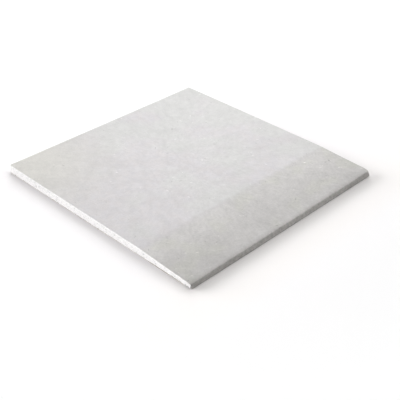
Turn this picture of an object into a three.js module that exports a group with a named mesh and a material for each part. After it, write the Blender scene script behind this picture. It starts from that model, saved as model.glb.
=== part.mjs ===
// Cut piece of tapered-edge gypsum plasterboard (drywall sheet), lying flat, face side up.
//
// Frame: +X across the board towards its tapered, paper-wrapped long edge,
//        +Y along the board (the direction it was made and is measured in), +Z up out of the face.
// Origin: centre of the bounding box in plan, on the underside (back paper) at Z = 0.
// Units: millimetres.
//
// A plasterboard is three bonded pieces: a set-gypsum core, a face paper that is carried round the long
// edge and folded a little way onto the back, and a back paper laid over that fold. The other three
// edges of this piece are cut square through all three.
import * as THREE from 'three';

// ---------------------------------------------------------------- driving dimensions (mm)
const WIDTH = 300;            // X, cut edge to tapered long edge
const LENGTH = 291;           // Y, cut end to cut end
const THICKNESS = 9.5;        // Z, nominal board thickness in the flat field
const FACE_PAPER = 0.35;      // calliper of the face paper
const BACK_PAPER = 0.35;      // calliper of the back paper

const TAPER_WIDTH = 74;       // from the crease to the long edge
const TAPER_DEPTH = 3.2;      // how far the taper alone would fall by the long edge
const TAPER_HOLLOW = 0.4;     // 0 = straight ramp, more = steeper at the crease and flatter at the edge
const TAPER_STEPS = 16;

// The long edge as the board machine forms it, from the face down: the face rolls a little further
// down, turns over a tight nose, leans out to a low upright foot and turns under into the fold.
const ROLL_WIDTH = 7;
const ROLL_DEPTH = 0.45;
const ROLL_STEPS = 6;
const NOSE_RADIUS = 0.8;
const NOSE_STEPS = 6;
const EDGE_LEAN = 1.9;        // how far the top of the long edge stands in from its foot
const FOOT_HEIGHT = 1.8;      // where the lean starts; below it the edge is upright
const HEEL_RADIUS = 0.5;      // long edge rolling under into the fold
const HEEL_STEPS = 4;

const FOLD_WIDTH = 32;        // how far the face paper is carried under, from the long edge
const BACK_PAPER_MARGIN = 11; // the back paper stops this far short of the long edge, over the fold

// ---------------------------------------------------------------- section of the board (X, Z)
const xLeft = -WIDTH / 2;
const xEdge = WIDTH / 2;
const xCrease = xEdge - TAPER_WIDTH;
const xTop = xEdge - EDGE_LEAN;           // where face and long edge would meet without the nose
const xRoll = xTop - ROLL_WIDTH;
const xFoldEnd = xEdge - FOLD_WIDTH;
const xBackEnd = xEdge - BACK_PAPER_MARGIN;
const zBack = BACK_PAPER;                 // top of the back paper, and underside of the fold

// Height and slope of the face across the taper and the roll, x measured in the board's frame.
function faceZ(x) {
  const s = (x - xCrease) / TAPER_WIDTH;
  const r = Math.max(x - xRoll, 0) / ROLL_WIDTH;
  return THICKNESS - TAPER_DEPTH * ((1 + TAPER_HOLLOW) * s - TAPER_HOLLOW * s * s) - ROLL_DEPTH * r * r;
}
function faceSlope(x) {
  const s = (x - xCrease) / TAPER_WIDTH;
  const r = Math.max(x - xRoll, 0) / ROLL_WIDTH;
  return (-TAPER_DEPTH / TAPER_WIDTH) * (1 + TAPER_HOLLOW - 2 * TAPER_HOLLOW * s) - (2 * ROLL_DEPTH / ROLL_WIDTH) * r;
}

// The leaning side runs straight from (xEdge, FOOT_HEIGHT) through (xTop, faceZ(xTop)).
const lean = Math.atan2(EDGE_LEAN, faceZ(xTop) - FOOT_HEIGHT);   // from the upright
const sideNormal = [Math.cos(lean), Math.sin(lean)];

// The nose is an arc tangent to the face and to the leaning side: find where it leaves the face.
const nose = (() => {
  let x = xTop - NOSE_RADIUS;
  const centre = () => {
    const a = Math.atan(faceSlope(x));
    return [x + NOSE_RADIUS * Math.sin(a), faceZ(x) - NOSE_RADIUS * Math.cos(a)];
  };
  for (let i = 0; i < 40; i++) {
    const [cx, cz] = centre();
    const out = (cx - xEdge) * sideNormal[0] + (cz - FOOT_HEIGHT) * sideNormal[1];
    x -= (out + NOSE_RADIUS) / sideNormal[0];
  }
  const [cx, cz] = centre();
  return { x, cx, cz, start: Math.PI / 2 + Math.atan(faceSlope(x)) };
})();

// The skin of the board, offset inwards by d, from the cut edge over the face, down the long edge
// and under to the end of the fold. d = 0 is the outside of the face paper, d = FACE_PAPER its inside.
function skin(d) {
  const line = [];
  const onFace = (x) => {
    const a = Math.atan(faceSlope(x));
    line.push([x + d * Math.sin(a), faceZ(x) - d * Math.cos(a)]);
  };
  line.push([xLeft, THICKNESS - d]);
  line.push([xCrease, THICKNESS - d]);
  for (let i = 1; i <= TAPER_STEPS; i++) onFace(xCrease + ((xRoll - xCrease) * i) / TAPER_STEPS);
  for (let i = 1; i <= ROLL_STEPS; i++) onFace(xRoll + ((nose.x - xRoll) * i) / ROLL_STEPS);
  const rn = NOSE_RADIUS - d;
  for (let i = 1; i <= NOSE_STEPS; i++) {
    const a = nose.start + ((lean - nose.start) * i) / NOSE_STEPS;
    line.push([nose.cx + rn * Math.cos(a), nose.cz + rn * Math.sin(a)]);
  }
  line.push([xEdge - d, FOOT_HEIGHT - d * Math.tan(lean / 2)]);
  const rh = HEEL_RADIUS - d;
  for (let i = 0; i <= HEEL_STEPS; i++) {
    const a = (-Math.PI / 2) * (i / HEEL_STEPS);
    line.push([xEdge - HEEL_RADIUS + rh * Math.cos(a), zBack + HEEL_RADIUS + rh * Math.sin(a)]);
  }
  line.push([xFoldEnd, zBack + d]);
  return line;
}

const outside = skin(0);
const inside = skin(FACE_PAPER);

const facePaperSection = [...outside, ...inside.slice().reverse()];
const coreSection = [...inside, [xFoldEnd, zBack], [xLeft, zBack]];
const backPaperSection = [
  [xLeft, zBack],
  [xBackEnd, zBack],
  [xBackEnd, 0],
  [xLeft, 0],
];

// ---------------------------------------------------------------- sections to solids
// A section drawn in (X, Z) is extruded along the board and stood the right way up.
function run(section) {
  const shape = new THREE.Shape(section.map(([x, z]) => new THREE.Vector2(x, z)));
  const solid = new THREE.ExtrudeGeometry(shape, { depth: LENGTH, bevelEnabled: false, steps: 1 });
  solid.rotateX(Math.PI / 2);             // drawn Y becomes Z, the extrusion runs towards -Y
  solid.translate(0, LENGTH / 2, 0);
  return solid;
}

const gypsum = new THREE.MeshStandardMaterial({ color: 0xf4f2ef, roughness: 0.95, metalness: 0 });
const facePaper = new THREE.MeshStandardMaterial({ color: 0xd9d7d5, roughness: 0.82, metalness: 0 });
const backPaper = new THREE.MeshStandardMaterial({ color: 0xb9b0a2, roughness: 0.9, metalness: 0 });

function piece(name, section, material) {
  const mesh = new THREE.Mesh(run(section), material);
  mesh.name = name;
  return mesh;
}

const board = new THREE.Group();
board.name = 'drywall_sheet';
board.add(piece('gypsum_core', coreSection, gypsum));
board.add(piece('face_paper', facePaperSection, facePaper));
board.add(piece('back_paper', backPaperSection, backPaper));

export default board;
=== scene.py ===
# Looks for a cut piece of tapered-edge gypsum board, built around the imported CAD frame.
import math

import bpy
import numpy as np
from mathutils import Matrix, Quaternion, Vector
from mathutils.geometry import delaunay_2d_cdt


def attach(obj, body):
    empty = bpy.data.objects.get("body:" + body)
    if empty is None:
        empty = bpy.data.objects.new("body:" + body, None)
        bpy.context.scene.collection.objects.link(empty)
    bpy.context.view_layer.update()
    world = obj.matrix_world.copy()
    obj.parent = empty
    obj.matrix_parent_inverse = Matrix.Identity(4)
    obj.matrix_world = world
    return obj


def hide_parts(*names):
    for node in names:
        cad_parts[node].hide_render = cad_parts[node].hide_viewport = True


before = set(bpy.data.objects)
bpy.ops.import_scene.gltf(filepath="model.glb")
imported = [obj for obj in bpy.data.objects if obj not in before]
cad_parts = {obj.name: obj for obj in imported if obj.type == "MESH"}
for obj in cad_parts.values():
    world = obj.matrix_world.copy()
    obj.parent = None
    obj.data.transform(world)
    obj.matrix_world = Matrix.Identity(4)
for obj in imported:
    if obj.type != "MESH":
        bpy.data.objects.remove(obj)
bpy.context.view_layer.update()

MM = 0.001
scene = bpy.context.scene

# ------------------------------------------------------------------ section of the board, as in the CAD (mm)
WIDTH, LENGTH, THICK = 300.0, 291.0, 9.5
PAPER = 0.35
TAPER_W, TAPER_D, HOLLOW = 74.0, 3.2, 0.4
ROLL_W, ROLL_D = 7.0, 0.45  # the face rolls over a little before the long edge
LEAN, FOOT, NOSE_R, HEEL_R = 1.9, 1.8, 0.8, 0.5  # the long edge: upright to FOOT, then leaning in by LEAN
FOLD_W, MARGIN = 32.0, 11.0
XL, XE, YE = -WIDTH / 2, WIDTH / 2, LENGTH / 2
XC = XE - TAPER_W
XF, XB = XE - FOLD_W, XE - MARGIN
CREASE_SOFT = 3.0  # the crease is eased over this much to either side


def crease_at(y):
    """The crease drifts a little across the board from the near cut end to the far one."""
    return XC + 2.3 * np.asarray(y, float) / YE


def face_z(x, xc=XC):
    """Height of the flat field and the taper, with the crease eased."""
    x = np.asarray(x, float)
    w = XE - xc
    s = np.maximum(x - xc, 0) / w
    d = TAPER_D * ((1 + HOLLOW) * s - HOLLOW * s * s)
    t = np.clip((x - xc + CREASE_SOFT) / (2 * CREASE_SOFT), 0, 1)
    k = TAPER_D / w * (1 + HOLLOW)
    soft = k * CREASE_SOFT * t * t  # a parabola that is tangent at both ends
    near = np.abs(x - xc) < CREASE_SOFT
    return THICK - np.where(near, soft, d)


def face_slope(x):
    e = 1e-3
    return (face_z(x + e) - face_z(x - e)) / (2 * e)


SX = XE - LEAN - ROLL_W  # where the roll starts


def rolled_z(x):
    """Height of the face with the roll at the end of the taper."""
    x = np.asarray(x, float)
    return face_z(x) - ROLL_D * (np.maximum(x - SX, 0) / ROLL_W) ** 2


def long_edge(n_roll=8, n_nose=8):
    """The section from the start of the roll to the foot of the long edge: points and outward normals."""
    def slope(x):
        return float(rolled_z(x + 1e-3) - rolled_z(x - 1e-3)) / 2e-3

    # the nose is an arc between the face and the leaning side, which runs from the foot through (XE - LEAN, top)
    top = float(rolled_z(XE - LEAN))
    lean = math.atan2(LEAN, top - FOOT)  # from the upright
    side_n = (math.cos(lean), math.sin(lean))
    # centre: NOSE_R inside both lines
    x = XE - LEAN - NOSE_R
    for _ in range(40):
        a = math.atan(slope(x))
        cx, cz = x + NOSE_R * math.sin(a), float(rolled_z(x)) - NOSE_R * math.cos(a)
        off = (cx - XE) * side_n[0] + (cz - FOOT) * side_n[1]  # how far the centre is outside the side
        x -= (off + NOSE_R) / side_n[0]
    a0 = math.pi / 2 + math.atan(slope(x))
    pts, nrm = [], []
    for q in np.linspace(SX, x, n_roll + 1):
        a = math.atan(slope(float(q)))
        pts.append((float(q), float(rolled_z(q)))); nrm.append((-math.sin(a), math.cos(a)))
    for i in range(1, n_nose + 1):
        a = a0 + (lean - a0) * i / n_nose
        pts.append((cx + NOSE_R * math.cos(a), cz + NOSE_R * math.sin(a))); nrm.append((math.cos(a), math.sin(a)))
    end = pts[-1]
    for i in range(1, 5):
        pts.append((end[0] + (XE - end[0]) * i / 5, end[1] + (FOOT - end[1]) * i / 5)); nrm.append(side_n)
    pts.append((XE, FOOT)); nrm.append((math.cos(lean / 2), math.sin(lean / 2)))
    return np.array(pts), np.array(nrm)


EDGE_P, EDGE_N = long_edge()
# inside the paper: the corner at the foot is mitred
EDGE_IN = EDGE_P - PAPER * EDGE_N
EDGE_IN[-1] = (XE - PAPER, FOOT - PAPER * math.tan(math.acos(EDGE_N[-2][0]) / 2))


def skin_line():
    """Points, outward normals and lengths along the outside of the face paper, from the cut edge to the end of the fold."""
    pts, nrm = [], []

    def add(x, z, nx, nz):
        pts.append((x, z)); nrm.append((nx, nz))

    xs = np.unique(np.concatenate([
        np.arange(XL, XC - 6, 2.0), np.arange(XC - 6, XC + 6.01, 0.75),
        np.arange(XC + 7, SX, 1.5), [XL]]))
    for x in xs:
        m = float(face_slope(min(max(x, XL + .01), SX)))
        n = math.hypot(1, m)
        add(float(x), float(face_z(x)), -m / n, 1 / n)
    for p, n in zip(EDGE_P, EDGE_N):
        add(float(p[0]), float(p[1]), float(n[0]), float(n[1]))
    z0 = PAPER + HEEL_R
    for i in range(1, 3):
        add(XE, FOOT + (z0 - FOOT) * i / 3, 1, 0)
    for i in range(0, 7):
        a = -math.pi / 2 * i / 6
        add(XE - HEEL_R + HEEL_R * math.cos(a), z0 + HEEL_R * math.sin(a), math.cos(a), math.sin(a))
    for x in np.arange(XE - HEEL_R - 2.0, XF, -3.0):
        add(float(x), PAPER, 0, -1)
    add(XF, PAPER, 0, -1)
    pts, nrm = np.array(pts), np.array(nrm)
    s = np.concatenate([[0], np.cumsum(np.hypot(*np.diff(pts, axis=0).T))])
    return pts, nrm, s


SK_P, SK_N, SK_S = skin_line()
S_END = SK_S[-1]
S_SHOULDER = SK_S[np.argmin(np.hypot(SK_P[:, 0] - SX, SK_P[:, 1] - float(face_z(SX))))]


def on_skin(s):
    x = np.interp(s, SK_S, SK_P[:, 0]); z = np.interp(s, SK_S, SK_P[:, 1])
    nx = np.interp(s, SK_S, SK_N[:, 0]); nz = np.interp(s, SK_S, SK_N[:, 1])
    n = np.hypot(nx, nz)
    return x, z, nx / n, nz / n


REACH = 8.0  # mm over which a cut edge's shift dies out on a paper


def cut_inset(x, h):
    """The near cut end (-Y) is out of square: how far it stands in from the box, h being 0 at the foot and 1 at the face."""
    foot = 1.0 - np.interp(x, [-75.0, -52.0, -17.0, 17.0, 50.0], [1.0, 0.80, 0.68, 0.50, 0.02])
    return foot + (1.0 - foot) * h


OUT_Z, OUT_X = EDGE_P[::-1, 1], EDGE_P[::-1, 0]  # outline of the leaning edge, from the foot up
ROWS = (-YE + 5.0, -60.0, YE - 4.2)  # the wrapped edge runs straight between these places and the two cut ends


def rounded(a, b):
    """A square corner, a and b being the distances past the centre of its rounding, brought onto an arc."""
    on = (a > 0) & (b > 0)
    c, d = np.where(on, a, 1.0), np.where(on, b, 1.0)
    k = np.where(on, np.maximum(c, d) / np.hypot(c, d), 1.0)
    return a * k, b * k


def handled(x, y, z):
    """What cutting and handling did to the true shape: three knocked corners and an edge that isn't quite even."""
    x, y, z = (np.asarray(v, float) for v in np.broadcast_arrays(x, y, z))
    out = np.interp(z, OUT_Z, OUT_X, left=XE, right=XE - LEAN)
    high = np.clip((z - 2.0) / 3.0, 0, 1)
    far, near = np.hypot(XE - LEAN - x, YE - y), np.hypot(XE - LEAN - x, y + YE - 1.0)
    # far corner of the long edge (+X, +Y): rounded in plan, and pressed down a little
    r = np.interp(z, [0.0, 2.0, 4.0], [2.4, 3.3, 3.7])
    a, b = rounded(x - (out - r), y - (YE - r))
    x2, y2 = out - r + a, YE - r + b
    # near corner of the long edge (+X, -Y)
    r = np.interp(z, [0.0, 2.0, 5.0], [2.4, 1.8, 1.2])
    line = -YE + cut_inset(XE, np.clip(z / THICK, 0, 1))
    a, b = rounded(x2 - (out - r), line + r - y2)
    x2, y2 = out - r + a, line + r - b
    # near corner of the cut side (-X, -Y)
    r = np.interp(z, [0.0, 3.0, THICK], [2.8, 1.8, 1.3])
    line = -YE + cut_inset(XL, np.clip(z / THICK, 0, 1))
    a, b = rounded(XL + r - x2, line + r - y2)
    x2, y2 = XL + r - a, line + r - b
    z2 = z - high * (0.55 * np.clip(1 - far / 9.0, 0, 1) ** 2 + 0.12 * np.clip(1 - near / 8.0, 0, 1) ** 2)
    # the face falls a little further to the wrapped edge at the near end than at the far one
    fall = 0.23 - 0.27 * y / YE
    t = np.clip((x - (XC + 20.0)) / (XE - LEAN - 1.0 - XC - 20.0), 0, 1)
    z2 = z2 - fall * t * t * (3 - 2 * t) * np.clip((z - FOOT) / 3.8, 0, 1)
    # the foot of the wrapped edge stands in towards the near end
    foot = np.interp(y, [-YE, ROWS[1], ROWS[2]], [0.55, 0.08, 0.0]) * np.clip(1 - (z - FOOT) / 3.8, 0, 1)
    x2 = x2 - foot * np.clip((x - (XE - 6.0)) / 6.0, 0, 1)
    return x2, y2, z2


# ------------------------------------------------------------------ noise in numpy, seeded by its arguments
def _hash(ix, iy, iz, seed):
    h = (ix.astype(np.int64) * 374761393 + iy.astype(np.int64) * 668265263
         + iz.astype(np.int64) * 2147483647 + seed * 1274126177) & 0xFFFFFFFF
    h = ((h ^ (h >> 13)) * 1274126177) & 0xFFFFFFFF
    h = ((h ^ (h >> 16)) * 2246822519) & 0xFFFFFFFF
    return ((h ^ (h >> 15)) & 0xFFFFFF) / float(0xFFFFFF)


def value_noise(x, y, z, seed):
    ix, iy, iz = np.floor(x), np.floor(y), np.floor(z)
    fx, fy, fz = x - ix, y - iy, z - iz
    ux, uy, uz = (f * f * f * (f * (f * 6 - 15) + 10) for f in (fx, fy, fz))
    out = 0
    for dx in (0, 1):
        for dy in (0, 1):
            for dz in (0, 1):
                w = (ux if dx else 1 - ux) * (uy if dy else 1 - uy) * (uz if dz else 1 - uz)
                out = out + w * _hash(ix + dx, iy + dy, iz + dz, seed)
    return out * 2 - 1


def fbm(x, y, z, wave, octaves=3, seed=1, gain=0.5):
    x, y, z = (np.asarray(v, float) for v in np.broadcast_arrays(x, y, z))
    out, amp, total = 0, 1.0, 0.0
    for o in range(octaves):
        k = 2.0 ** o / wave
        out = out + amp * value_noise(x * k + 17.3 * o, y * k - 9.1 * o, z * k + 3.7 * o, seed + o)
        total += amp
        amp *= gain
    return out / total


# ------------------------------------------------------------------ meshes
def make_mesh(name, verts_mm, faces, smooth=True):
    me = bpy.data.meshes.new(name)
    me.from_pydata((np.asarray(verts_mm) * MM).tolist(), [], faces)
    me.validate(clean_customdata=False)
    if smooth:
        me.polygons.foreach_set("use_smooth", np.ones(len(me.polygons), bool))
    me.update()
    ob = bpy.data.objects.new(name, me)
    scene.collection.objects.link(ob)
    return ob


MARGIN_UV = 0.006
PX = 1 / 1024  # one pixel of a 1024-pixel map


def set_map(ob, corners):
    """corners holds one place on the map for each corner of each face, in the mesh's order."""
    layer = ob.data.uv_layers.new(name="OFBake", do_init=False)
    layer.uv.foreach_set("vector", np.asarray(corners, np.float32).ravel())


def rows_along(start, length, row, row_px, base):
    """Places for a long narrow strip that is cut into rows: for each piece of it, low and high places on the map."""
    total = start[-1] + length[-1]
    n = max(1, math.ceil(total / row))
    row = total / n
    k = np.minimum((start / row).astype(int), n - 1)
    span = row + 8.0
    lo = MARGIN_UV + (start - k * row) / span * (1 - 2 * MARGIN_UV)
    hi = MARGIN_UV + (start - k * row + length) / span * (1 - 2 * MARGIN_UV)
    y = base + k * (row_px + 2) * PX
    return lo, hi, y, n


def triangulate(points):
    """Delaunay triangles of points in the plane, all turned the same way."""
    verts, _, faces, _, _, _ = delaunay_2d_cdt([Vector(p) for p in points.tolist()], [], [], 0, 1e-7)
    v = np.array([tuple(p) for p in verts])
    f = np.array([tuple(t) for t in faces], int)
    a, b, c = v[f[:, 0]], v[f[:, 1]], v[f[:, 2]]
    turn = (b[:, 0] - a[:, 0]) * (c[:, 1] - a[:, 1]) - (b[:, 1] - a[:, 1]) * (c[:, 0] - a[:, 0])
    f = f[np.abs(turn) > 1e-9]
    turn = turn[np.abs(turn) > 1e-9]
    f[turn < 0] = f[turn < 0][:, ::-1]
    return v, f


def rim_of(faces):
    """The outline's edges of a patch of triangles, in order, with the patch on their left."""
    e = np.concatenate([faces[:, [0, 1]], faces[:, [1, 2]], faces[:, [2, 0]]])
    have = {(int(a), int(b)) for a, b in e}
    nxt = {a: b for a, b in have if (b, a) not in have}
    start = min(nxt)
    ring, at = [start], nxt[start]
    while at != start:
        ring.append(at)
        at = nxt[at]
    return ring


def sheet_points(u0, u1, v0, v1, fine_u0, fine_u1, lines, step):
    """Points over a rectangle that are close together along the cut edges and far apart inside.
    fine_u0 and fine_u1 say whether the edges at u0 and u1 are cut ones; v0 and v1 always are. lines are the columns to keep."""
    pts = []
    rings = [(0.0, 0.6), (0.45, 0.6), (1.2, 1.0), (2.6, 2.0)]
    ends = rings[-1][0] + 2.0

    def along(lo, hi, pitch, keep=()):
        n = max(1, int(round((hi - lo) / pitch)))
        base = np.linspace(lo, hi, n + 1)
        if len(keep):
            keep = np.array([k for k in keep if lo < k < hi])
            base = np.array([b for b in base if len(keep) == 0 or np.abs(keep - b).min() > pitch * 0.45 or b in (lo, hi)])
            base = np.unique(np.concatenate([base, keep]))
        return base

    for off, pitch in rings:
        a0 = u0 + (off if fine_u0 else 0)
        a1 = u1 - (off if fine_u1 else 0)
        for v in (v0 + off, v1 - off):
            for u in along(a0, a1, pitch, lines):
                pts.append((u, v))
        if fine_u0:
            for v in along(v0 + off, v1 - off, pitch)[1:-1]:
                pts.append((u0 + off, v))
        if fine_u1:
            for v in along(v0 + off, v1 - off, pitch)[1:-1]:
                pts.append((u1 - off, v))
    cols = along(u0 + (ends if fine_u0 else 0), u1 - (ends if fine_u1 else 0), step, lines)
    rows = along(v0 + ends, v1 - ends, step)
    for u in cols:
        for v in rows:
            pts.append((u, v))
    pts = np.array(pts)
    _, keep = np.unique(np.round(pts, 4), axis=0, return_index=True)
    return pts[np.sort(keep)]


def ragged(t, seed, size):
    """How far a knife-cut paper edge wanders from its line: a slow wander, a fine fray and a few torn nicks."""
    slow = 0.5 * fbm(t, 0, 0, 22.0, 2, seed)
    fine = 0.5 * fbm(t, 0, 0, 2.2, 3, seed + 5)
    nick = np.clip(fbm(t, 0, 0, 5.0, 2, seed + 11) - 0.42, 0, 1) * 3.0
    return size * (slow + fine - nick)


def solid_sheet(name, u0, u1, turn, fine_u0, fine_u1, lines, step, place, fray, seed, inset, mirror=False):
    """A closed sheet of paper. place(u, v) gives the outside point and its outward normal; turn is where it turns down."""
    pts = sheet_points(u0, u1, -YE, YE, fine_u0, fine_u1, lines, step)
    uv, tri = triangulate(pts)
    ring = rim_of(tri)
    u, v = uv[:, 0].copy(), uv[:, 1].copy()
    # the cut edges wander; the wander dies out a little way in
    reach = 2.0
    v += inset(uv[:, 0]) * np.clip(1 - (uv[:, 1] + YE) / REACH, 0, 1) ** 2
    for edge, sign in ((-YE, 1), (YE, -1)):
        w = np.clip(1 - np.abs(uv[:, 1] - edge) / reach, 0, 1) ** 2
        v += sign * w * (fray * 1.1 - ragged(uv[:, 0], seed + (3 if sign > 0 else 4), fray))
    for edge, sign, fine in ((u0, 1, fine_u0), (u1, -1, fine_u1)):
        if fine:
            w = np.clip(1 - np.abs(uv[:, 0] - edge) / reach, 0, 1) ** 2
            u += sign * w * (fray * 1.1 - ragged(uv[:, 1], seed + (7 if sign > 0 else 8), fray))
    top, normal, extra, drift = place(u, v, uv)
    bottom = top - normal * PAPER
    top = top + extra[:, None] * normal
    for side in (top, bottom):
        side[:, 2] += drift
        side[:, 0], side[:, 1], side[:, 2] = handled(side[:, 0], side[:, 1], side[:, 2])
    n = len(uv)
    verts = np.concatenate([top, bottom])
    faces = [tuple(int(i) for i in t) for t in tri]
    faces += [tuple(int(i) + n for i in t[::-1]) for t in tri]
    for a, b in zip(ring, ring[1:] + ring[:1]):
        faces.append((b, a, a + n, b + n))
    ob = make_mesh(name, verts, faces)
    # the map: the outside takes nearly all of it, the turned edge has a strip of its own, then the inside and the rim
    m, full = MARGIN_UV, 1 - 2 * MARGIN_UV
    tall = 0.900
    along = (uv[:, 1] + YE) / LENGTH
    main = np.stack([m + (uv[:, 0] - u0) / (turn - u0) * full, m + along * tall], 1)
    k = np.interp(uv[:, 0], [turn, turn + 13.0, u1 + 14.0], [0, 36, 48]) if turn < u1 else np.zeros(n)
    edge = np.stack([m + (1 - along) * full, m + tall + (4 + k) * PX], 1)
    base = m + tall + 56 * PX
    inside = np.stack([m + (u1 - uv[:, 0]) / (u1 - u0) * full, base + along * 12 * PX], 1)
    of_edge = uv[tri, 0].mean(1) > turn
    corners = [np.where(of_edge[:, None, None], edge[tri], main[tri]).reshape(-1, 2), inside[tri[:, ::-1]].reshape(-1, 2)]
    a = np.array(ring); b = np.roll(a, -1)
    length = np.hypot(*(uv[b] - uv[a]).T)
    start = np.concatenate([[0], np.cumsum(length)[:-1]])
    lo, hi, y, _ = rows_along(start, length, 320.0, 3, base + 15 * PX)
    rim = np.stack([np.stack([hi, y], 1), np.stack([lo, y], 1), np.stack([lo, y + 3 * PX], 1), np.stack([hi, y + 3 * PX], 1)], 1)
    corners.append(rim.reshape(-1, 2))
    corners = np.concatenate(corners)
    if mirror:
        corners[:, 0] = 1 - corners[:, 0]
    set_map(ob, corners)
    return ob


def place_face(u, v, uv):
    x, z, nx, nz = on_skin(u)
    top = np.stack([x, v, z], 1)
    normal = np.stack([nx, np.zeros_like(nx), nz], 1)
    upper = np.clip((S_SHOULDER - u) / 6.0, 0, 1)
    wave = 0.035 * fbm(x, v, 0, 90.0, 2, 21) + 0.012 * fbm(x, v, 0, 17.0, 2, 22) - 0.05
    side = 0.03 * fbm(u, v, 0, 30.0, 2, 23) - 0.03
    extra = upper * wave + (1 - upper) * np.where(nz > -0.5, side, 0)
    # the knife presses the paper down a little along the cut edges
    gap = np.minimum(np.minimum(YE - uv[:, 1], uv[:, 1] + YE), uv[:, 0])
    extra -= 0.10 * np.clip(1 - gap / 0.9, 0, 1) ** 2
    drift = np.where(u < S_SHOULDER, face_z(x, crease_at(v)) - face_z(x), 0.0) * upper
    return top, normal, extra, drift


def place_back(u, v, uv):
    top = np.stack([u, v, np.zeros_like(u)], 1)
    normal = np.tile([0.0, 0.0, -1.0], (len(u), 1))
    return top, normal, np.zeros_like(u), np.zeros_like(u)


def build_face_paper():
    crease = [s for s, p in zip(SK_S, SK_P) if abs(p[0] - XC) < 6.1 and p[1] > 5]
    arcs = [s for s in SK_S if s >= S_SHOULDER - 0.01]
    return solid_sheet("face_paper_sheet", 0.0, S_END, S_SHOULDER, True, False, np.array(crease + arcs), 5.0, place_face, 0.10, 31,
                       lambda u: np.full_like(u, cut_inset(0, 1)))


def build_back_paper():
    ob = solid_sheet("back_paper_sheet", XL, XB, XB, True, False, np.array([]), 6.0, place_back, 0.12, 57,
                     lambda u: cut_inset(u, 0), mirror=True)
    # seen from below the sheet's faces look down, so its triangles are turned
    me = ob.data
    me.flip_normals()
    return ob


# the core ---------------------------------------------------------------------------------------
def core_z(x, xc):
    """Lowest and highest points of the core's section at x, with the crease at xc."""
    x = np.asarray(x, float)
    low = np.where(x > XF, 2 * PAPER, PAPER)
    zt = face_z(np.minimum(x, SX)) - PAPER * np.sqrt(1 + face_slope(np.minimum(x, SX)) ** 2)
    zt += (face_z(x, xc) - face_z(x)) * np.clip((SX - x) / 6.0, 0, 1)
    zt = np.where(x > EDGE_IN[0, 0], np.interp(x, EDGE_IN[:, 0], EDGE_IN[:, 1]), zt)
    hin = HEEL_R - PAPER
    hx = XE - HEEL_R
    heel = PAPER + HEEL_R - np.sqrt(np.clip(hin ** 2 - np.clip(x - hx, 0, hin) ** 2, 0, None))
    low = np.where(x > hx, heel, low)
    return low, zt


def bubbles(length, height, count, seed, lo=0.16, hi=0.75, power=3.0):
    """Air bubbles that a cut has opened: place along and up the face, radius, and how deep the cut took them."""
    rng = np.random.default_rng(seed)
    r = lo * (1 - rng.random(count) * (1 - (lo / hi) ** (power - 1))) ** (-1 / (power - 1))
    return np.stack([rng.random(count) * length, rng.random(count) * height, r,
                     0.35 + 0.65 * rng.random(count), 0.75 + 0.5 * rng.random(count)], 1)


def relief(t, h, top_gap, low_gap, pits, seed, coarse=1.0):
    """How far a cut face of the core stands out from its plane (mm, negative inwards) and how hollow it is there.
    t runs along the face and h up it; top_gap and low_gap are the distances to the papers."""
    # the top millimetre is where the knife went: smoother, and leaning in towards the paper
    knife = np.clip(1 - top_gap / 1.3, 0, 1)
    rough = (1 - 0.65 * knife) * coarse
    d = -0.16 + 0.11 * fbm(t, h * 1.6, 0, 34.0, 2, seed)
    d += 0.075 * fbm(t, h, 0, 6.0, 3, seed + 3) * rough
    d += 0.055 * fbm(t, h, 0, 1.5, 3, seed + 6, 0.65) * rough
    d -= 0.10 * knife * knife
    # crumbled bits along the two papers
    chip = np.clip(fbm(t, 0, 0, 7.0, 3, seed + 13) - 0.30, 0, 1)
    d -= 1.3 * chip * np.clip(1 - low_gap / (0.6 + 2.2 * chip), 0, 1)
    chip2 = np.clip(fbm(t, 0, 0, 5.0, 3, seed + 17) - 0.36, 0, 1)
    d -= 1.1 * chip2 * np.clip(1 - top_gap / (0.5 + 1.8 * chip2), 0, 1)
    hollow = np.zeros_like(d)
    order = np.argsort(t, axis=None)
    flat_t, flat_h = t.ravel(), h.ravel()
    ts = flat_t[order]
    dd, hh = d.ravel().copy(), hollow.ravel()
    for pt, ph, r, deep, wide in pits:
        a, b = np.searchsorted(ts, [pt - r * wide - 0.05, pt + r * wide + 0.05])
        idx = order[a:b]
        q = ((flat_t[idx] - pt) / wide) ** 2 + (flat_h[idx] - ph) ** 2
        near = q < r * r
        if near.any():
            i = idx[near]
            k = np.sqrt(1 - q[near] / (r * r))
            dd[i] -= deep * r * k
            hh[i] = np.maximum(hh[i], np.minimum(1, 1.4 * k) * min(1.0, r / 0.35))
    return dd.reshape(d.shape), hh.reshape(d.shape), np.maximum(knife, 0.12 * np.clip(1.6 - low_gap / 2.0, 0, 1))


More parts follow.
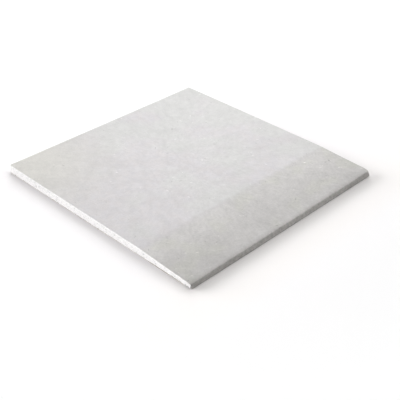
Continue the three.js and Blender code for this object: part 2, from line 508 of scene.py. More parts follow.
def build_core():
    cell = 0.31
    # columns across the board, closer where the section turns, and columns along its cut side
    rx = EDGE_IN[:, 0]
    xs = np.unique(np.round(np.concatenate([np.linspace(XL, rx[0], int((rx[0] - XL) / cell)), rx, [XF, XF + 0.02]]), 6))
    xs = xs[np.concatenate([[True], np.diff(xs) > 0.012])]
    xs[-1] = XE - PAPER - 0.004
    ys = np.linspace(-YE, YE, int(LENGTH / cell) + 1)
    nz = 28
    EPS = 0.004  # the papers lie on the core with no two faces in one plane
    w = np.linspace(0, 1, nz + 1)
    w = w + 0.025 * np.sin(2 * math.pi * w) * -1  # rows closer together near the papers
    low, high_f = core_z(xs, float(crease_at(-YE)))
    high_b = core_z(xs, float(crease_at(YE)))[1]
    low, high_f, high_b = low + EPS, high_f - EPS, high_b - EPS
    ZF = low[:, None] + (high_f - low)[:, None] * w[None, :]
    ZB = low[:, None] + (high_b - low)[:, None] * w[None, :]
    X = np.repeat(xs[:, None], nz + 1, 1)
    lowL, highL = low[0], high_f[0]
    ZL = np.repeat((lowL + (highL - lowL) * w)[None, :], len(ys), 0)
    YL = np.repeat(ys[:, None], nz + 1, 1)

    pits_f = bubbles(WIDTH, THICK, 2300, 101)
    # larger broken-out places along the near cut face: place along it, height, radius, depth and width against height
    pits_f = np.concatenate([pits_f, [
        (173.0, 5.6, 1.35, 0.30, 0.75), (170.0, 7.4, 0.8, 0.3, 1.2), (51.0, 3.4, 1.25, 0.28, 1.4), (47.5, 6.9, 0.9, 0.3, 1.3),
        (57.0, 5.8, 0.8, 0.3, 1.0), (24.0, 4.6, 0.9, 0.3, 1.1), (88.0, 2.6, 1.0, 0.3, 1.2), (121.0, 7.2, 0.8, 0.3, 1.4),
        (137.0, 3.8, 0.9, 0.3, 1.0), (204.0, 3.0, 0.9, 0.3, 1.3), (231.0, 5.0, 1.0, 0.3, 1.1), (249.0, 3.2, 0.9, 0.3, 1.4),
        (262.0, 5.2, 0.9, 0.3, 0.9), (276.0, 3.0, 0.8, 0.3, 1.2)]])
    pits_b = bubbles(WIDTH, THICK, 2300, 102)
    pits_l = bubbles(LENGTH, THICK, 2200, 103)
    dF, hF, kF = relief(X - XL, ZF, high_f[:, None] - ZF, ZF - low[:, None], pits_f, 201)
    dB, hB, kB = relief(X - XL, ZB, high_b[:, None] - ZB, ZB - low[:, None], pits_b, 231)
    dL, hL, kL = relief(YL + YE, ZL, highL - ZL, ZL - lowL, pits_l, 261)
    # the foot has crumbled a little where the taper begins to thin the core, and at the near corner of the long edge
    dF -= 0.40 * np.clip(1 - np.abs(X - 109.0) / 22.0, 0, 1) ** 0.5 * np.clip(1 - ZF / 3.4, 0, 1)
    dF -= 1.1 * np.clip(1 - np.hypot((XE - X) / 2.4, ZF / 2.8) + 0.15 * fbm(X, ZF, 0, 1.6, 2, 291), 0, 1) ** 0.6
    # the relief goes out at the wrapped long edge, and the corners share one position
    nx, ny = len(xs), len(ys)
    F = np.stack([X, -YE - dF + cut_inset(X, w[None, :]), ZF], 2)
    B = np.stack([X, YE + dB, ZB], 2)
    YL = YL + cut_inset(XL, w[None, :]) * np.clip(1 - (YL + YE) / REACH, 0, 1) ** 2
    L = np.stack([XL - dL, YL, ZL], 2)
    # at each upright corner the two faces meet: move both sides' shifts into the corner
    for face, d, side in ((F, dF, 0), (B, dB, -1)):
        face[0, :, 0] = XL - dL[side]
        # blend the neighbouring columns so that no column crosses the corner
        for i in range(1, 6):
            k = 1 - i / 6
            face[i, :, 0] = face[i, :, 0] + k * np.maximum(-dL[side], 0) * 0.5
    for side, face in ((0, F), (-1, B)):
        L[side] = face[0]
        for i in range(1, 6):
            k = 1 - i / 6
            row = i if side == 0 else -1 - i
            dd = (dF if side == 0 else dB)[0]
            L[row, :, 1] += (1 if side == 0 else -1) * k * np.maximum(-dd, 0) * 0.5

    iF = np.arange(nx * (nz + 1)).reshape(nx, nz + 1)
    iB = iF + nx * (nz + 1)
    base = 2 * nx * (nz + 1)
    iL = np.empty((ny, nz + 1), int)
    iL[0], iL[-1] = iF[0], iB[0]
    iL[1:-1] = base + np.arange((ny - 2) * (nz + 1)).reshape(ny - 2, nz + 1)
    # more rows of points across the last few columns, where the edge turns or a blunted corner begins
    first = int(np.argmax(xs > XE - 8.5))
    kept = nx - first
    at, extra, iT, iU, iS = base + (ny - 2) * (nz + 1), [], [], [], []
    for y_row in ROWS:
        for ids, x_row, z_row in ((iT, xs[first:], high_b[first:]), (iU, xs[first:], low[first:]), (iS, xs[-1], ZB[-1, 1:-1])):
            extra.append(np.stack(np.broadcast_arrays(x_row, y_row, z_row), 1))
            ids.append(at + np.arange(len(extra[-1])))
            at += len(extra[-1])
        iS[-1] = np.concatenate([[iU[-1][-1]], iS[-1], [iT[-1][-1]]])
    extra = np.concatenate(extra)
    co = np.concatenate([F.reshape(-1, 3), B.reshape(-1, 3), L[1:-1].reshape(-1, 3), extra])
    co = np.stack(handled(co[:, 0], co[:, 1], co[:, 2]), 1)
    pit_shade = np.concatenate([hF.ravel(), hB.ravel(), hL[1:-1].ravel(), np.zeros(len(extra))])
    knife_and_highlight = np.concatenate([kF.ravel(), kB.ravel(), kL[1:-1].ravel(), np.zeros(len(extra))])

    def quads(idx, flip):
        a, b, c, d = idx[:-1, :-1], idx[1:, :-1], idx[1:, 1:], idx[:-1, 1:]
        q = np.stack([a, b, c, d], -1).reshape(-1, 4)
        return q[:, ::-1] if flip else q

    q = np.concatenate([quads(iF, False), quads(iB, True), quads(iL, True)])
    faces = q.tolist()
    m, full = MARGIN_UV, 1 - 2 * MARGIN_UV
    tall = 97 * PX
    under = m + 9 * (tall + 2 * PX)  # the map's part for the covered faces: side, top and underside
    strip = (1 - m - under) / 3 - 4 * PX
    r0, r1, r2 = (under + k * (strip + 3 * PX) for k in range(3))
    parts = [0.0] + [(y + YE) / LENGTH * strip for y in ROWS] + [strip]
    covered = []

    def cover(ids, places):
        faces.append(ids)
        covered.extend(places)

    # wrapped edge, hidden under the paper
    g = m + np.linspace(0, 1, nz + 1) * full
    for j in range(nz):
        a, b = g[j], g[j + 1]
        rows = [iF[-1]] + iS + [iB[-1]]
        for p, q, v0, v1 in zip(rows, rows[1:], parts, parts[1:]):
            cover([p[j], q[j], q[j + 1], p[j + 1]], [(a, r0 + v0), (a, r0 + v1), (b, r0 + v1), (b, r0 + v0)])
    # top and underside, hidden under the papers: long strips, and one many-sided strip along the cut side
    gx = m + (xs - XL) / WIDTH * full
    gy = (ys + YE) / LENGTH * strip
    for i in range(1, nx - 1):
        a, b, k = gx[i], gx[i + 1], i - first
        if k >= 0:
            tops = [(iF[i, -1], iF[i + 1, -1])] + [(t[k], t[k + 1]) for t in iT] + [(iB[i, -1], iB[i + 1, -1])]
            lows = [(iF[i, 0], iF[i + 1, 0])] + [(t[k], t[k + 1]) for t in iU] + [(iB[i, 0], iB[i + 1, 0])]
            for p, q, v0, v1 in zip(tops, tops[1:], parts, parts[1:]):
                cover([p[0], p[1], q[1], q[0]], [(a, r1 + v0), (b, r1 + v0), (b, r1 + v1), (a, r1 + v1)])
            for p, q, v0, v1 in zip(lows, lows[1:], parts, parts[1:]):
                cover([p[0], q[0], q[1], p[1]], [(a, r2 + v0), (a, r2 + v1), (b, r2 + v1), (b, r2 + v0)])
        elif k == -1:
            mid = [(b, v) for v in parts[1:-1]]
            cover([iF[i, -1], iF[i + 1, -1]] + [t[0] for t in iT] + [iB[i + 1, -1], iB[i, -1]],
                  [(a, r1), (b, r1)] + [(u, r1 + v) for u, v in mid] + [(b, r1 + strip), (a, r1 + strip)])
            cover([iF[i, 0], iB[i, 0], iB[i + 1, 0]] + [t[0] for t in iU][::-1] + [iF[i + 1, 0]],
                  [(a, r2), (a, r2 + strip), (b, r2 + strip)] + [(u, r2 + v) for u, v in mid][::-1] + [(b, r2)])
        else:
            cover([iF[i, -1], iF[i + 1, -1], iB[i + 1, -1], iB[i, -1]], [(a, r1), (b, r1), (b, r1 + strip), (a, r1 + strip)])
            cover([iF[i, 0], iB[i, 0], iB[i + 1, 0], iF[i + 1, 0]], [(a, r2), (a, r2 + strip), (b, r2 + strip), (b, r2)])
    cover([iF[0, -1], iF[1, -1], iB[1, -1]] + iL[1:, -1][::-1].tolist(),
          [(gx[0], r1), (gx[1], r1), (gx[1], r1 + strip)] + [(gx[0], r1 + y) for y in gy[:0:-1]])
    cover([iB[1, 0], iF[1, 0]] + iL[:, 0].tolist(),
          [(gx[1], r2 + strip), (gx[1], r2)] + [(gx[0], r2 + y) for y in gy])
    ob = make_mesh("gypsum_core_block", co, [[int(i) for i in f] for f in faces])
    # the map: each cut face in rows of about 100 mm at 10 px/mm, and the covered faces in what is left
    level = (ZF / THICK, ZB / THICK, ZL / THICK)
    corners, base = [], m
    for idx, flip, run_at, up in ((iF, False, xs - XL, level[0]), (iB, True, xs - XL, level[1]), (iL, True, ys + YE, level[2])):
        total = run_at[-1]
        row = total / 3
        k = np.minimum((run_at[:-1] / row).astype(int), 2)
        lo = m + (run_at[:-1] - k * row) / (row + 1) * full
        hi = m + (run_at[1:] - k * row) / (row + 1) * full
        if flip:
            lo, hi = 1 - lo, 1 - hi
        y0 = (base + k * (tall + 2 * PX))[:, None]
        a = np.stack([np.repeat(lo[:, None], nz, 1), y0 + up[:-1, :-1] * tall], -1)
        b = np.stack([np.repeat(hi[:, None], nz, 1), y0 + up[1:, :-1] * tall], -1)
        c = np.stack([np.repeat(hi[:, None], nz, 1), y0 + up[1:, 1:] * tall], -1)
        d = np.stack([np.repeat(lo[:, None], nz, 1), y0 + up[:-1, 1:] * tall], -1)
        quad = np.stack([a, b, c, d], 2).reshape(-1, 4, 2)
        corners.append((quad[:, ::-1] if flip else quad).reshape(-1, 2))
        base += 3 * (tall + 2 * PX)
    corners.append(np.array(covered))
    set_map(ob, np.concatenate(corners))
    # hollow carries the painted shade of the bubbles and pits, knife the whitening under the face, which is partly a
    # painted highlight
    for name, values in (("hollow", pit_shade), ("knife", knife_and_highlight)):
        ob.data.attributes.new(name, "FLOAT", "POINT").data.foreach_set("value", values.astype(np.float32))
    return ob


core = build_core()
face = build_face_paper()
back = build_back_paper()


# ------------------------------------------------------------------ node helpers
class Tree:
    def __init__(self, name):
        self.mat = bpy.data.materials.new(name)
        self.mat.use_nodes = True
        self.nt = self.mat.node_tree
        self.nt.nodes.clear()
        self.out = self.nt.nodes.new("ShaderNodeOutputMaterial")
        self.bsdf = self.nt.nodes.new("ShaderNodeBsdfPrincipled")
        self.nt.links.new(self.bsdf.outputs[0], self.out.inputs["Surface"])
        self.co = self.nt.nodes.new("ShaderNodeTexCoord").outputs["Object"]

    def link(self, a, b):
        if isinstance(a, (int, float)):
            b.default_value = a
        elif isinstance(a, (tuple, list)):
            b.default_value = a
        else:
            self.nt.links.new(a, b)

    def math(self, op, a, b=None, c=None, clamp=False):
        n = self.nt.nodes.new("ShaderNodeMath")
        n.operation, n.use_clamp = op, clamp
        for i, v in enumerate((a, b, c)):
            if v is not None:
                self.link(v, n.inputs[i])
        return n.outputs[0]

    def scaled(self, v, s):
        n = self.nt.nodes.new("ShaderNodeMapping")
        self.link(v, n.inputs["Vector"])
        n.inputs["Scale"].default_value = s
        return n.outputs[0]

    def turned(self, v, angle, s=(1, 1, 1)):
        n = self.nt.nodes.new("ShaderNodeMapping")
        self.link(v, n.inputs["Vector"])
        n.inputs["Rotation"].default_value = (0, 0, angle)
        n.inputs["Scale"].default_value = (1, 1, 1)
        return self.scaled(n.outputs[0], s)

    def moved(self, v, by, s=(1, 1, 1)):
        n = self.nt.nodes.new("ShaderNodeMapping")
        self.link(v, n.inputs["Vector"])
        n.inputs["Location"].default_value = by
        n.inputs["Scale"].default_value = s
        return n.outputs[0]

    def noise(self, v, wave_mm, detail=3.0, rough=0.5, distort=0.0, out="Fac"):
        n = self.nt.nodes.new("ShaderNodeTexNoise")
        n.noise_dimensions = "3D"
        self.link(v, n.inputs["Vector"])
        n.inputs["Scale"].default_value = 1000.0 / wave_mm
        n.inputs["Detail"].default_value = detail
        n.inputs["Roughness"].default_value = rough
        n.inputs["Distortion"].default_value = distort
        return n.outputs[out]

    def voronoi(self, v, cell_mm, feature="F1", rand=1.0, out="Distance"):
        n = self.nt.nodes.new("ShaderNodeTexVoronoi")
        n.feature = feature
        self.link(v, n.inputs["Vector"])
        n.inputs["Scale"].default_value = 1000.0 / cell_mm
        n.inputs["Randomness"].default_value = rand
        return n.outputs[out], (n.outputs["Color"] if feature == "F1" else None)

    def span(self, v, a, b, lo=0.0, hi=1.0, smooth=True):
        n = self.nt.nodes.new("ShaderNodeMapRange")
        n.interpolation_type = "SMOOTHSTEP" if smooth else "LINEAR"
        n.clamp = True
        self.link(v, n.inputs["Value"])
        for k, x in (("From Min", a), ("From Max", b), ("To Min", lo), ("To Max", hi)):
            n.inputs[k].default_value = x
        return n.outputs["Result"]

    def mix(self, fac, a, b, mode="MIX"):
        n = self.nt.nodes.new("ShaderNodeMix")
        n.data_type, n.blend_type = "RGBA", mode
        n.clamp_factor = True
        self.link(fac, n.inputs[0])
        self.link(a if not isinstance(a, tuple) else (*a, 1.0)[:4], n.inputs[6])
        self.link(b if not isinstance(b, tuple) else (*b, 1.0)[:4], n.inputs[7])
        return n.outputs[2]

    def times(self, colour, value):
        """colour times a grey value."""
        n = self.nt.nodes.new("ShaderNodeVectorMath")
        n.operation = "SCALE"
        self.link(colour if not isinstance(colour, tuple) else colour[:3], n.inputs[0])
        self.link(value, n.inputs["Scale"])
        return n.outputs[0]

    def attribute(self, name):
        n = self.nt.nodes.new("ShaderNodeAttribute")
        n.attribute_name = name
        return n.outputs["Fac"]

    def part(self, v, axis):
        n = self.nt.nodes.new("ShaderNodeSeparateXYZ")
        self.link(v, n.inputs[0])
        return n.outputs[axis]

    def bump(self, height, distance_mm, strength=1.0, before=None):
        n = self.nt.nodes.new("ShaderNodeBump")
        n.inputs["Strength"].default_value = strength
        n.inputs["Distance"].default_value = distance_mm * MM
        self.link(height, n.inputs["Height"])
        if before is not None:
            self.link(before, n.inputs["Normal"])
        return n.outputs[0]


def paper_fibres(t, seed, across=0.16, along=1.9):
    """Fibres lying mostly along the board: three crossing sets of fine streaks, bent by a slow warp. About 0.5 on average."""
    warp = t.noise(t.co, 3.0, 2.0, 0.5, 0.0, "Color")
    w = t.nt.nodes.new("ShaderNodeVectorMath")
    w.operation = "MULTIPLY_ADD"
    t.link(warp, w.inputs[0])
    w.inputs[1].default_value = (0.0006, 0.0006, 0.0006)
    t.link(t.co, w.inputs[2])
    total = None
    for i, angle in enumerate((0.12, -0.55, 0.75)):
        k = t.turned(w.outputs[0], angle + 0.21 * seed, (1.0, across / along, 1.0))
        f = t.noise(k, across * (1.0 + 0.35 * i), 2.0, 0.55)
        total = f if total is None else t.math("ADD", total, f)
    return t.math("MULTIPLY", total, 1 / 3)


def flecks(t, angle, cell_mm, stretch, radius, share, cluster=None):
    """Stray strokes and specks in the paper, from -1 (dark) to 1 (pale): each lies along angle, and share of the places have one."""
    d, c = t.voronoi(t.turned(t.co, angle, (1.0, stretch, 1.0)), cell_mm)
    there = t.math("GREATER_THAN", t.part(c, 0), 1 - share)
    if cluster is not None:
        there = t.math("MULTIPLY", there, cluster)
    tone = t.math("MULTIPLY_ADD", t.part(c, 1), 2.0, -1.0)
    return t.math("MULTIPLY", t.math("MULTIPLY", t.span(d, radius * 0.55, radius, 1.0, 0.0), there), tone)


# how much greyer the taper is painted at the wrapped edge: painted shade
TAPER_SHADE = 0.139


def face_paper_material():
    t = Tree("face_paper")
    fibre = paper_fibres(t, 0)
    mottle = t.noise(t.co, 3.2, 2.0, 0.7, 0.4)
    # mottling from the size of a thumbnail down to single flocks of fibre: cell in mm and strength
    marks = None
    drift = t.moved(t.co, (1.504, 2.042, 1.0), (-1, 1, 1))
    for cell, size in ((60.0, 0.0145), (17.0, 0.019), (8.0, 0.022), (3.9, 0.025), (1.9, 0.026)):
        m = t.span(t.noise(drift if cell > 50 else t.co, cell, 1.0, 0.5, 0.3), 0.3, 0.7, -size, size, False)
        marks = m if marks is None else t.math("ADD", marks, m)
    marks = t.math("ADD", marks, t.span(fibre, 0.36, 0.64, -0.045, 0.045, False))
    cluster = t.span(t.noise(t.co, 21.0, 2.0, 0.6), 0.44, 0.60, 0.10, 1.0)
    for i, (angle, cell, stretch, radius, share, size) in enumerate((
            (0.35, 3.9, 0.34, 0.20, 0.20, 0.29), (1.45, 4.2, 0.32, 0.20, 0.20, 0.29),
            (2.35, 4.6, 0.30, 0.19, 0.22, 0.29), (0.9, 2.6, 0.80, 0.26, 0.14, 0.36))):
        marks = t.math("MULTIPLY_ADD", flecks(t, angle, cell, stretch, radius, share, cluster), size, marks)
    # On the taper the marks are painted stronger, as the shading that the low light draws from its relief, and the
    # taper is painted greyer towards the wrapped edge, most at the near end: painted shade where it turns from the
    # light and the light falls off.
    taper_ramp = t.span(t.part(t.co, 0), (XC - 2) * MM, (XE - 3) * MM)
    marks = t.math("MULTIPLY", marks, t.span(t.part(t.co, 0), (XC - 4) * MM, (XC + 8) * MM, 1.12, 1.62))
    taper_shade = t.math("MULTIPLY", taper_ramp, t.span(t.part(t.co, 1), 0.020, -0.140, -TAPER_SHADE, -1.35 * TAPER_SHADE))
    # just past the crease the face is painted a touch paler: a painted highlight
    crease_highlight = t.math("MULTIPLY", t.span(t.part(t.co, 0), (XC - 5) * MM, (XC + 6) * MM), t.span(t.part(t.co, 0), (XC + 6) * MM, (XC + 34) * MM, 0.016, 0.0))
    value = t.math("MULTIPLY", t.math("ADD", marks, 1.0), t.math("ADD", t.math("ADD", taper_shade, crease_highlight), 1.0))
    # and the whole face is painted a little darker towards the near end: painted shade where the light falls off
    value = t.math("MULTIPLY", value, t.span(t.part(t.co, 1), -YE * MM, YE * MM, 0.992, 1.005, False))
    # the wrapped edge is scuffed, and greyer than the face, most along its upper half and at its ends
    scuff = t.noise(t.co, 3.3, 3.0, 0.7)
    drawn = t.math("ADD", t.part(t.co, 0), t.span(t.noise(t.co, 6.0, 2.0, 0.6), 0.3, 0.7, -0.0006, 0.0006, False))
    side = t.span(drawn, (XE - 4.4) * MM, (XE - 1.6) * MM)
    value = t.math("MULTIPLY", value, t.math("MULTIPLY_ADD", side, t.span(scuff, 0.3, 0.7, -0.165, 0.165, False), 1.0))
    ends = t.math("ADD", t.span(t.part(t.co, 1), -0.142, -0.126, 0.05, 0.0), t.span(t.part(t.co, 1), 0.125, 0.141, 0.0, 0.13))
    dark = t.math("ADD", t.span(t.part(t.co, 2), 0.0008, 0.0045, 0.012, 0.072), ends)
    value = t.math("MULTIPLY", value, t.math("SUBTRACT", 1.0, t.math("MULTIPLY", side, dark)))
    # a line bruised by the knife along the three cut edges
    gap = t.math("MINIMUM", t.math("MINIMUM", t.math("ADD", t.part(t.co, 1), (YE - 1.0) * MM),
                                   t.math("SUBTRACT", YE * MM, t.part(t.co, 1))), t.math("ADD", t.part(t.co, 0), -XL * MM))
    value = t.math("MULTIPLY", value, t.span(gap, 0.0003, 0.0022, 0.955, 1.0))
    tint = t.mix(t.span(t.noise(t.co, 11.0, 2.0, 0.5), 0.35, 0.65), (0.6095, 0.5885, 0.5925), (0.6035, 0.5885, 0.6005))
    # in slow clouds, and more at the back and the cut side, the pulp is a little greener
    lean = t.math("MULTIPLY_ADD", t.part(t.co, 1), 2.2, t.math("MULTIPLY", t.part(t.co, 0), -1.5))
    lean = t.math("ADD", lean, t.span(t.noise(t.co, 48.0, 2.0, 0.5), 0.3, 0.7, -0.62, 0.52, False))
    tint = t.mix(t.span(lean, -0.25, 0.45), tint, (0.6035, 0.6005, 0.5920))
    # the paper has yellowed a little from the near left corner
    n = t.nt.nodes.new("ShaderNodeVectorMath")
    n.operation = "DISTANCE"
    t.link(t.co, n.inputs[0])
    n.inputs[1].default_value = (XL * MM, -YE * MM, THICK * MM)
    tint = t.mix(t.span(n.outputs["Value"], 0.150, 0.030), tint, (0.610, 0.598, 0.568))
    taper = t.mix(t.span(t.noise(t.moved(t.co, (0.31, 0.0, 0.0), (1, 1, 1)), 30.0, 2.0, 0.5), 0.50, 0.64), (0.604, 0.5895, 0.5790), (0.6075, 0.5985, 0.5690))
    tint = t.mix(t.span(t.part(t.co, 0), (XC - 3) * MM, (XC + 9) * MM), tint, taper)
    tint = t.mix(side, tint, (0.611, 0.5915, 0.5695))
    t.link(t.times(tint, value), t.bsdf.inputs["Base Color"])
    t.link(t.span(mottle, 0.3, 0.7, 0.78, 0.90), t.bsdf.inputs["Roughness"])
    t.bsdf.inputs["Specular IOR Level"].default_value = 0.30
    b = t.bump(fibre, 0.05, 0.55)
    b = t.bump(mottle, 0.10, 0.5, b)
    t.link(b, t.bsdf.inputs["Normal"])
    return t.mat


def cut_paper_material(name, colour):
    """The cut thickness of a paper: its plies, and fibres standing out of them."""
    t = Tree(name)
    ply = t.noise(t.scaled(t.co, (0.25, 0.25, 4.0)), 0.5, 3.0, 0.6)
    grain = t.noise(t.co, 0.5, 3.0, 0.6)
    value = t.math("ADD", t.span(ply, 0.3, 0.7, 0.90, 1.08, False), t.span(grain, 0.3, 0.7, -0.08, 0.08, False))
    # along the cut side the papers' cut edges are painted darker: painted shade, so that they don't burn out in the
    # strong light from that side
    value = t.math("MULTIPLY", value, t.span(t.part(t.co, 0), (XL + 0.8) * MM, (XL + 2.0) * MM, 0.58, 1.0))
    t.link(t.times(colour, value), t.bsdf.inputs["Base Color"])
    t.bsdf.inputs["Roughness"].default_value = 0.92
    t.bsdf.inputs["Specular IOR Level"].default_value = 0.25
    t.link(t.bump(grain, 0.08, 0.6), t.bsdf.inputs["Normal"])
    return t.mat


def gypsum_material():
    t = Tree("gypsum_core")
    hollow = t.attribute("hollow")
    grain = t.noise(t.co, 0.55, 4.0, 0.62)
    patch = t.noise(t.co, 4.5, 3.0, 0.5)
    # bubbles too small for the mesh: painted shade in each, with a bump to match
    d, c = t.voronoi(t.co, 0.85)
    fine = t.math("MULTIPLY", t.span(d, 0.16, 0.30, 1.0, 0.0), t.math("GREATER_THAN", t.part(c, 0), 0.55))
    value = t.math("ADD", t.span(grain, 0.3, 0.7, 0.925, 1.065, False), t.span(patch, 0.3, 0.7, -0.036, 0.036, False))
    value = t.math("MULTIPLY_ADD", fine, -0.26, value)
    # painted shade in the bubbles and broken-out pits of the mesh, darker the deeper a point lies in one
    value = t.math("MULTIPLY_ADD", hollow, -0.26, value)
    # the cut is smoother and whiter where the knife went in, just under the face, and a little along the back; the
    # whitening under the face also paints the bright highlight along that top edge
    value = t.math("MULTIPLY_ADD", t.attribute("knife"), 0.095, value)
    # at the near corner of the long edge the tip of the core is painted dark: painted shade at that corner
    tip = t.math("MULTIPLY_ADD", t.part(t.co, 2), -0.19, t.part(t.co, 0))
    tip = t.math("ADD", tip, t.span(t.noise(t.co, 1.6, 2.0, 0.5), 0.3, 0.7, -0.0003, 0.0003, False))
    tip_shade = t.math("MULTIPLY", t.span(tip, 0.1465, 0.1473), t.span(t.part(t.co, 1), -0.1400, -0.1380, 0.68, 0.0))
    value = t.math("MULTIPLY", value, t.math("SUBTRACT", 1.0, tip_shade))
    t.link(t.times((0.848, 0.836, 0.834), value), t.bsdf.inputs["Base Color"])
    t.bsdf.inputs["Roughness"].default_value = 0.93
    t.bsdf.inputs["Specular IOR Level"].default_value = 0.22
    b = t.bump(grain, 0.10, 0.6)
    b = t.bump(t.math("SUBTRACT", 1.0, fine), 0.12, 0.6, b)
    t.link(b, t.bsdf.inputs["Normal"])
    return t.mat


def back_paper_material():
    t = Tree("back_paper")
    cloud = t.noise(t.co, 7.0, 3.0, 0.55)
    mottle = t.noise(t.co, 2.2, 4.0, 0.62, 0.3)
    fibre = paper_fibres(t, 1)
    value = t.math("ADD", t.span(cloud, 0.25, 0.75, -0.04, 0.04, False), 1.0)
    value = t.math("ADD", value, t.span(mottle, 0.25, 0.75, -0.07, 0.07, False))
    value = t.math("ADD", value, t.span(fibre, 0.36, 0.64, -0.08, 0.08, False))
    d1, c1 = t.voronoi(t.turned(t.co, 0.3, (1.0, 0.4, 1.0)), 2.2)
    dark = t.math("MULTIPLY", t.span(d1, 0.06, 0.13, 1.0, 0.0), t.math("GREATER_THAN", t.part(c1, 0), 0.5))
    value = t.math("MULTIPLY_ADD", dark, -0.16, value)
    tint = t.mix(t.span(mottle, 0.35, 0.65), (0.44, 0.395, 0.325), (0.43, 0.40, 0.345))
    t.link(t.times(tint, value), t.bsdf.inputs["Base Color"])
    t.link(t.span(mottle, 0.3, 0.7, 0.84, 0.95), t.bsdf.inputs["Roughness"])
    t.bsdf.inputs["Specular IOR Level"].default_value = 0.22
    b = t.bump(fibre, 0.06, 0.6)
    b = t.bump(mottle, 0.10, 0.5, b)
    t.link(b, t.bsdf.inputs["Normal"])
    return t.mat


def dress(ob, skin, cut):
    """skin on the faces of a sheet and cut on its rim, which is the four-sided faces."""
    ob.data.materials.append(skin)
    ob.data.materials.append(cut)
    ob.data.polygons.foreach_set("material_index", [1 if len(p.vertices) == 4 else 0 for p in ob.data.polygons])
    for p in ob.data.polygons:
        if len(p.vertices) == 4:
            p.use_smooth = False


core.data.materials.append(gypsum_material())
dress(face, face_paper_material(), cut_paper_material("face_paper_cut", (0.74, 0.725, 0.71)))
dress(back, back_paper_material(), cut_paper_material("back_paper_cut", (0.42, 0.38, 0.32)))

for piece, node, slot in ((core, "gypsum_core", "gypsum"), (face, "face_paper", "face_paper"), (back, "back_paper", "back_paper")):
    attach(piece, "root")
    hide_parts(node)

# ------------------------------------------------------------------ stage, light and camera
def pale_floor():
    me = bpy.data.meshes.new("floor")
    n, r = 96, 13.0
    ring = [(r * math.cos(2 * math.pi * i / n), r * math.sin(2 * math.pi * i / n), -0.00002) for i in range(n)]
    me.from_pydata(ring, [], [list(range(n))])
    ob = bpy.data.objects.new("floor", me)
    scene.collection.objects.link(ob)
    t = Tree("floor_paper")
    soft = t.noise(t.co, 400.0, 2.0, 0.5)
    # beyond the reach of the spots the floor is a little paler, so that it stays white and meets the backdrop without a line
    far = t.nt.nodes.new("ShaderNodeVectorMath")
    far.operation = "LENGTH"
    t.link(t.co, far.inputs[0])
    value = t.math("MULTIPLY", t.span(soft, 0.3, 0.7, 0.995, 1.0), t.span(far.outputs["Value"], 0.23, 0.42, 1.0, 1.037))
    # a trace of warmth painted round the board where its shadow falls, most on the wrapped edge's side: the warm colour
    # of that shade
    near = t.mix(t.span(t.part(t.co, 0), 0.08, 0.16), (0.9736, 0.9553, 0.9625), (0.9820, 0.9600, 0.9480))
    near = t.mix(t.span(t.part(t.co, 0), 0.178, 0.215), near, (0.967, 0.961, 0.9645))
    tint = t.mix(t.span(far.outputs["Value"], 0.23, 0.34), near, (0.964, 0.964, 0.964))
    t.link(t.times(tint, value), t.bsdf.inputs["Base Color"])
    # well off the board it glows faintly, so that it is as white as the backdrop seen against the light and with it
    t.bsdf.inputs["Emission Color"].default_value = (1.0, 1.0, 1.0, 1.0)
    t.link(t.span(far.outputs["Value"], 0.26, 0.60, 0.0, 0.075), t.bsdf.inputs["Emission Strength"])
    t.mat.cycles.emission_sampling = "NONE"
    t.bsdf.inputs["Roughness"].default_value = 0.9
    t.bsdf.inputs["Specular IOR Level"].default_value = 0.1
    me.materials.append(t.mat)
    return ob


pale_floor()

# soft lamps: azimuth and elevation of where they stand (azimuth 0 looks along +Y, as in the views), strength, and what they
# light. Most of the light comes from low on the cut side's half, so the wrapped edge lies in shade. The white gypsum is
# shielded from the strongest of it, so that the cut faces towards the left and the back keep their shape.
LAMPS = [
    ("left_low", -70.0, 8.0, 3.30, "not_gypsum"),
    ("left_front_low", -50.0, 8.0, 2.97, "not_gypsum"),
    ("back_left_low", -130.0, 8.0, 0.405, "not_gypsum"),
    ("back_left", -130.0, 22.0, 1.69, "not_gypsum"),
    ("back", 170.0, 22.0, 1.04, None),
    ("top", -170.0, 66.0, 0.665, None),
    ("right_high", 130.0, 42.0, 0.608, None),
    ("gypsum_left", -45.0, 8.0, 1.62, "gypsum"),
    ("gypsum_right", 50.0, 8.0, 2.79, "gypsum"),
    ("gypsum_side", -90.0, 20.0, 0.55, "gypsum"),
]

LIT = {}
for name, state in (("not_gypsum", "EXCLUDE"), ("gypsum", "INCLUDE")):
    LIT[name] = bpy.data.collections.new(name)
    LIT[name].objects.link(core)
    LIT[name].collection_objects[0].light_linking.link_state = state


def stand(data, azimuth, elevation, distance, aim=(0.0, 0.0)):
    a, e = math.radians(azimuth), math.radians(elevation)
    way = Vector((math.sin(a) * math.cos(e), -math.cos(a) * math.cos(e), math.sin(e)))
    ob = bpy.data.objects.new(data.name, data)
    ob.location = Vector((aim[0], aim[1], 0.0)) + way * distance
    ob.rotation_mode = "QUATERNION"
    ob.rotation_quaternion = (-way).to_track_quat("-Z", "Y")
    scene.collection.objects.link(ob)
    return ob


for name, azimuth, elevation, strength, lit in LAMPS:
    data = bpy.data.lights.new(name, "SUN")
    data.energy, data.angle = strength, math.radians(30)
    stand(data, azimuth, elevation, 3.0).light_linking.receiver_collection = LIT.get(lit)
# two soft spots from the back left, so that the face is a little paler towards the back
for name, strength, aim in (("back_left_spot", 17.0, (-0.10, 0.05)), ("back_spot", 7.1, (-0.03, 0.10))):
    data = bpy.data.lights.new(name, "SPOT")
    data.energy, data.shadow_soft_size = strength, 0.25
    data.spot_size, data.spot_blend = math.radians(31.2), 1.0
    lamp = stand(data, -150.0, 45.0, 1.2, aim)
    lamp.visible_camera = False
    lamp.light_linking.receiver_collection = LIT["not_gypsum"]

world = bpy.data.worlds.new("studio")
world.use_nodes = True
world.node_tree.nodes["Background"].inputs[0].default_value = (1, 1, 1, 1)
world.node_tree.nodes["Background"].inputs[1].default_value = 0.0
scene.world = world


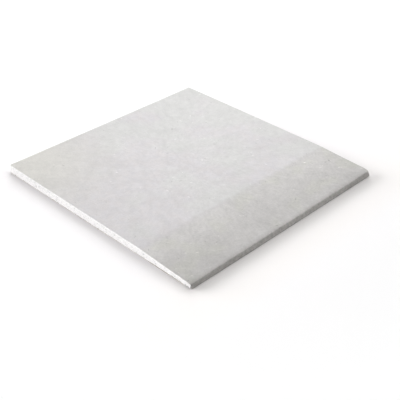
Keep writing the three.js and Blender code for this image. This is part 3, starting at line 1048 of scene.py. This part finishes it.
def white_backdrop():
    """A far white shell that only the camera sees."""
    me = bpy.data.meshes.new("backdrop")
    r, rings, n = 12.0, 24, 64
    co, faces = [], []
    for i in range(1, rings):
        p = math.pi * i / rings
        co += [(r * math.sin(p) * math.cos(2 * math.pi * j / n), r * math.sin(p) * math.sin(2 * math.pi * j / n), r * math.cos(p))
               for j in range(n)]
    for i in range(rings - 2):
        for j in range(n):
            a, b = i * n + j, i * n + (j + 1) % n
            faces.append((a, b, b + n, a + n))
    co += [(0, 0, r), (0, 0, -r)]
    top, low, last = len(co) - 2, len(co) - 1, (rings - 2) * n
    for j in range(n):
        faces.append((top, (j + 1) % n, j))
        faces.append((low, last + j, last + (j + 1) % n))
    me.from_pydata(co, [], faces)
    ob = bpy.data.objects.new("backdrop", me)
    scene.collection.objects.link(ob)
    mat = bpy.data.materials.new("backdrop_white")
    mat.use_nodes = True
    nt = mat.node_tree
    nt.nodes.clear()
    glow = nt.nodes.new("ShaderNodeEmission")
    glow.inputs["Strength"].default_value = 1.0
    nt.links.new(glow.outputs[0], nt.nodes.new("ShaderNodeOutputMaterial").inputs["Surface"])
    me.materials.append(mat)
    ob.visible_diffuse = ob.visible_glossy = ob.visible_transmission = False
    ob.visible_volume_scatter = ob.visible_shadow = False


white_backdrop()

scene.view_settings.view_transform = "Standard"
scene.view_settings.look = "None"

cam_data = bpy.data.cameras.new("camera")
cam_data.sensor_width, cam_data.sensor_fit = 36.0, "HORIZONTAL"
cam_data.lens = 813.97 / 400 * 36.0
cam_data.clip_start, cam_data.clip_end = 0.01, 100.0
cam = bpy.data.objects.new("camera", cam_data)
pitch, yaw, tilt = math.radians(33.7630), math.radians(134.7459), math.radians(0.2338)
cam.location = (0.57276, -0.56096, 0.49956)
look = Vector((math.cos(yaw) * math.cos(pitch), math.sin(yaw) * math.cos(pitch), -math.sin(pitch)))
cam.rotation_mode = "QUATERNION"
cam.rotation_quaternion = look.to_track_quat("-Z", "Y") @ Quaternion((0, 0, 1), tilt)
scene.collection.objects.link(cam)
scene.camera = cam
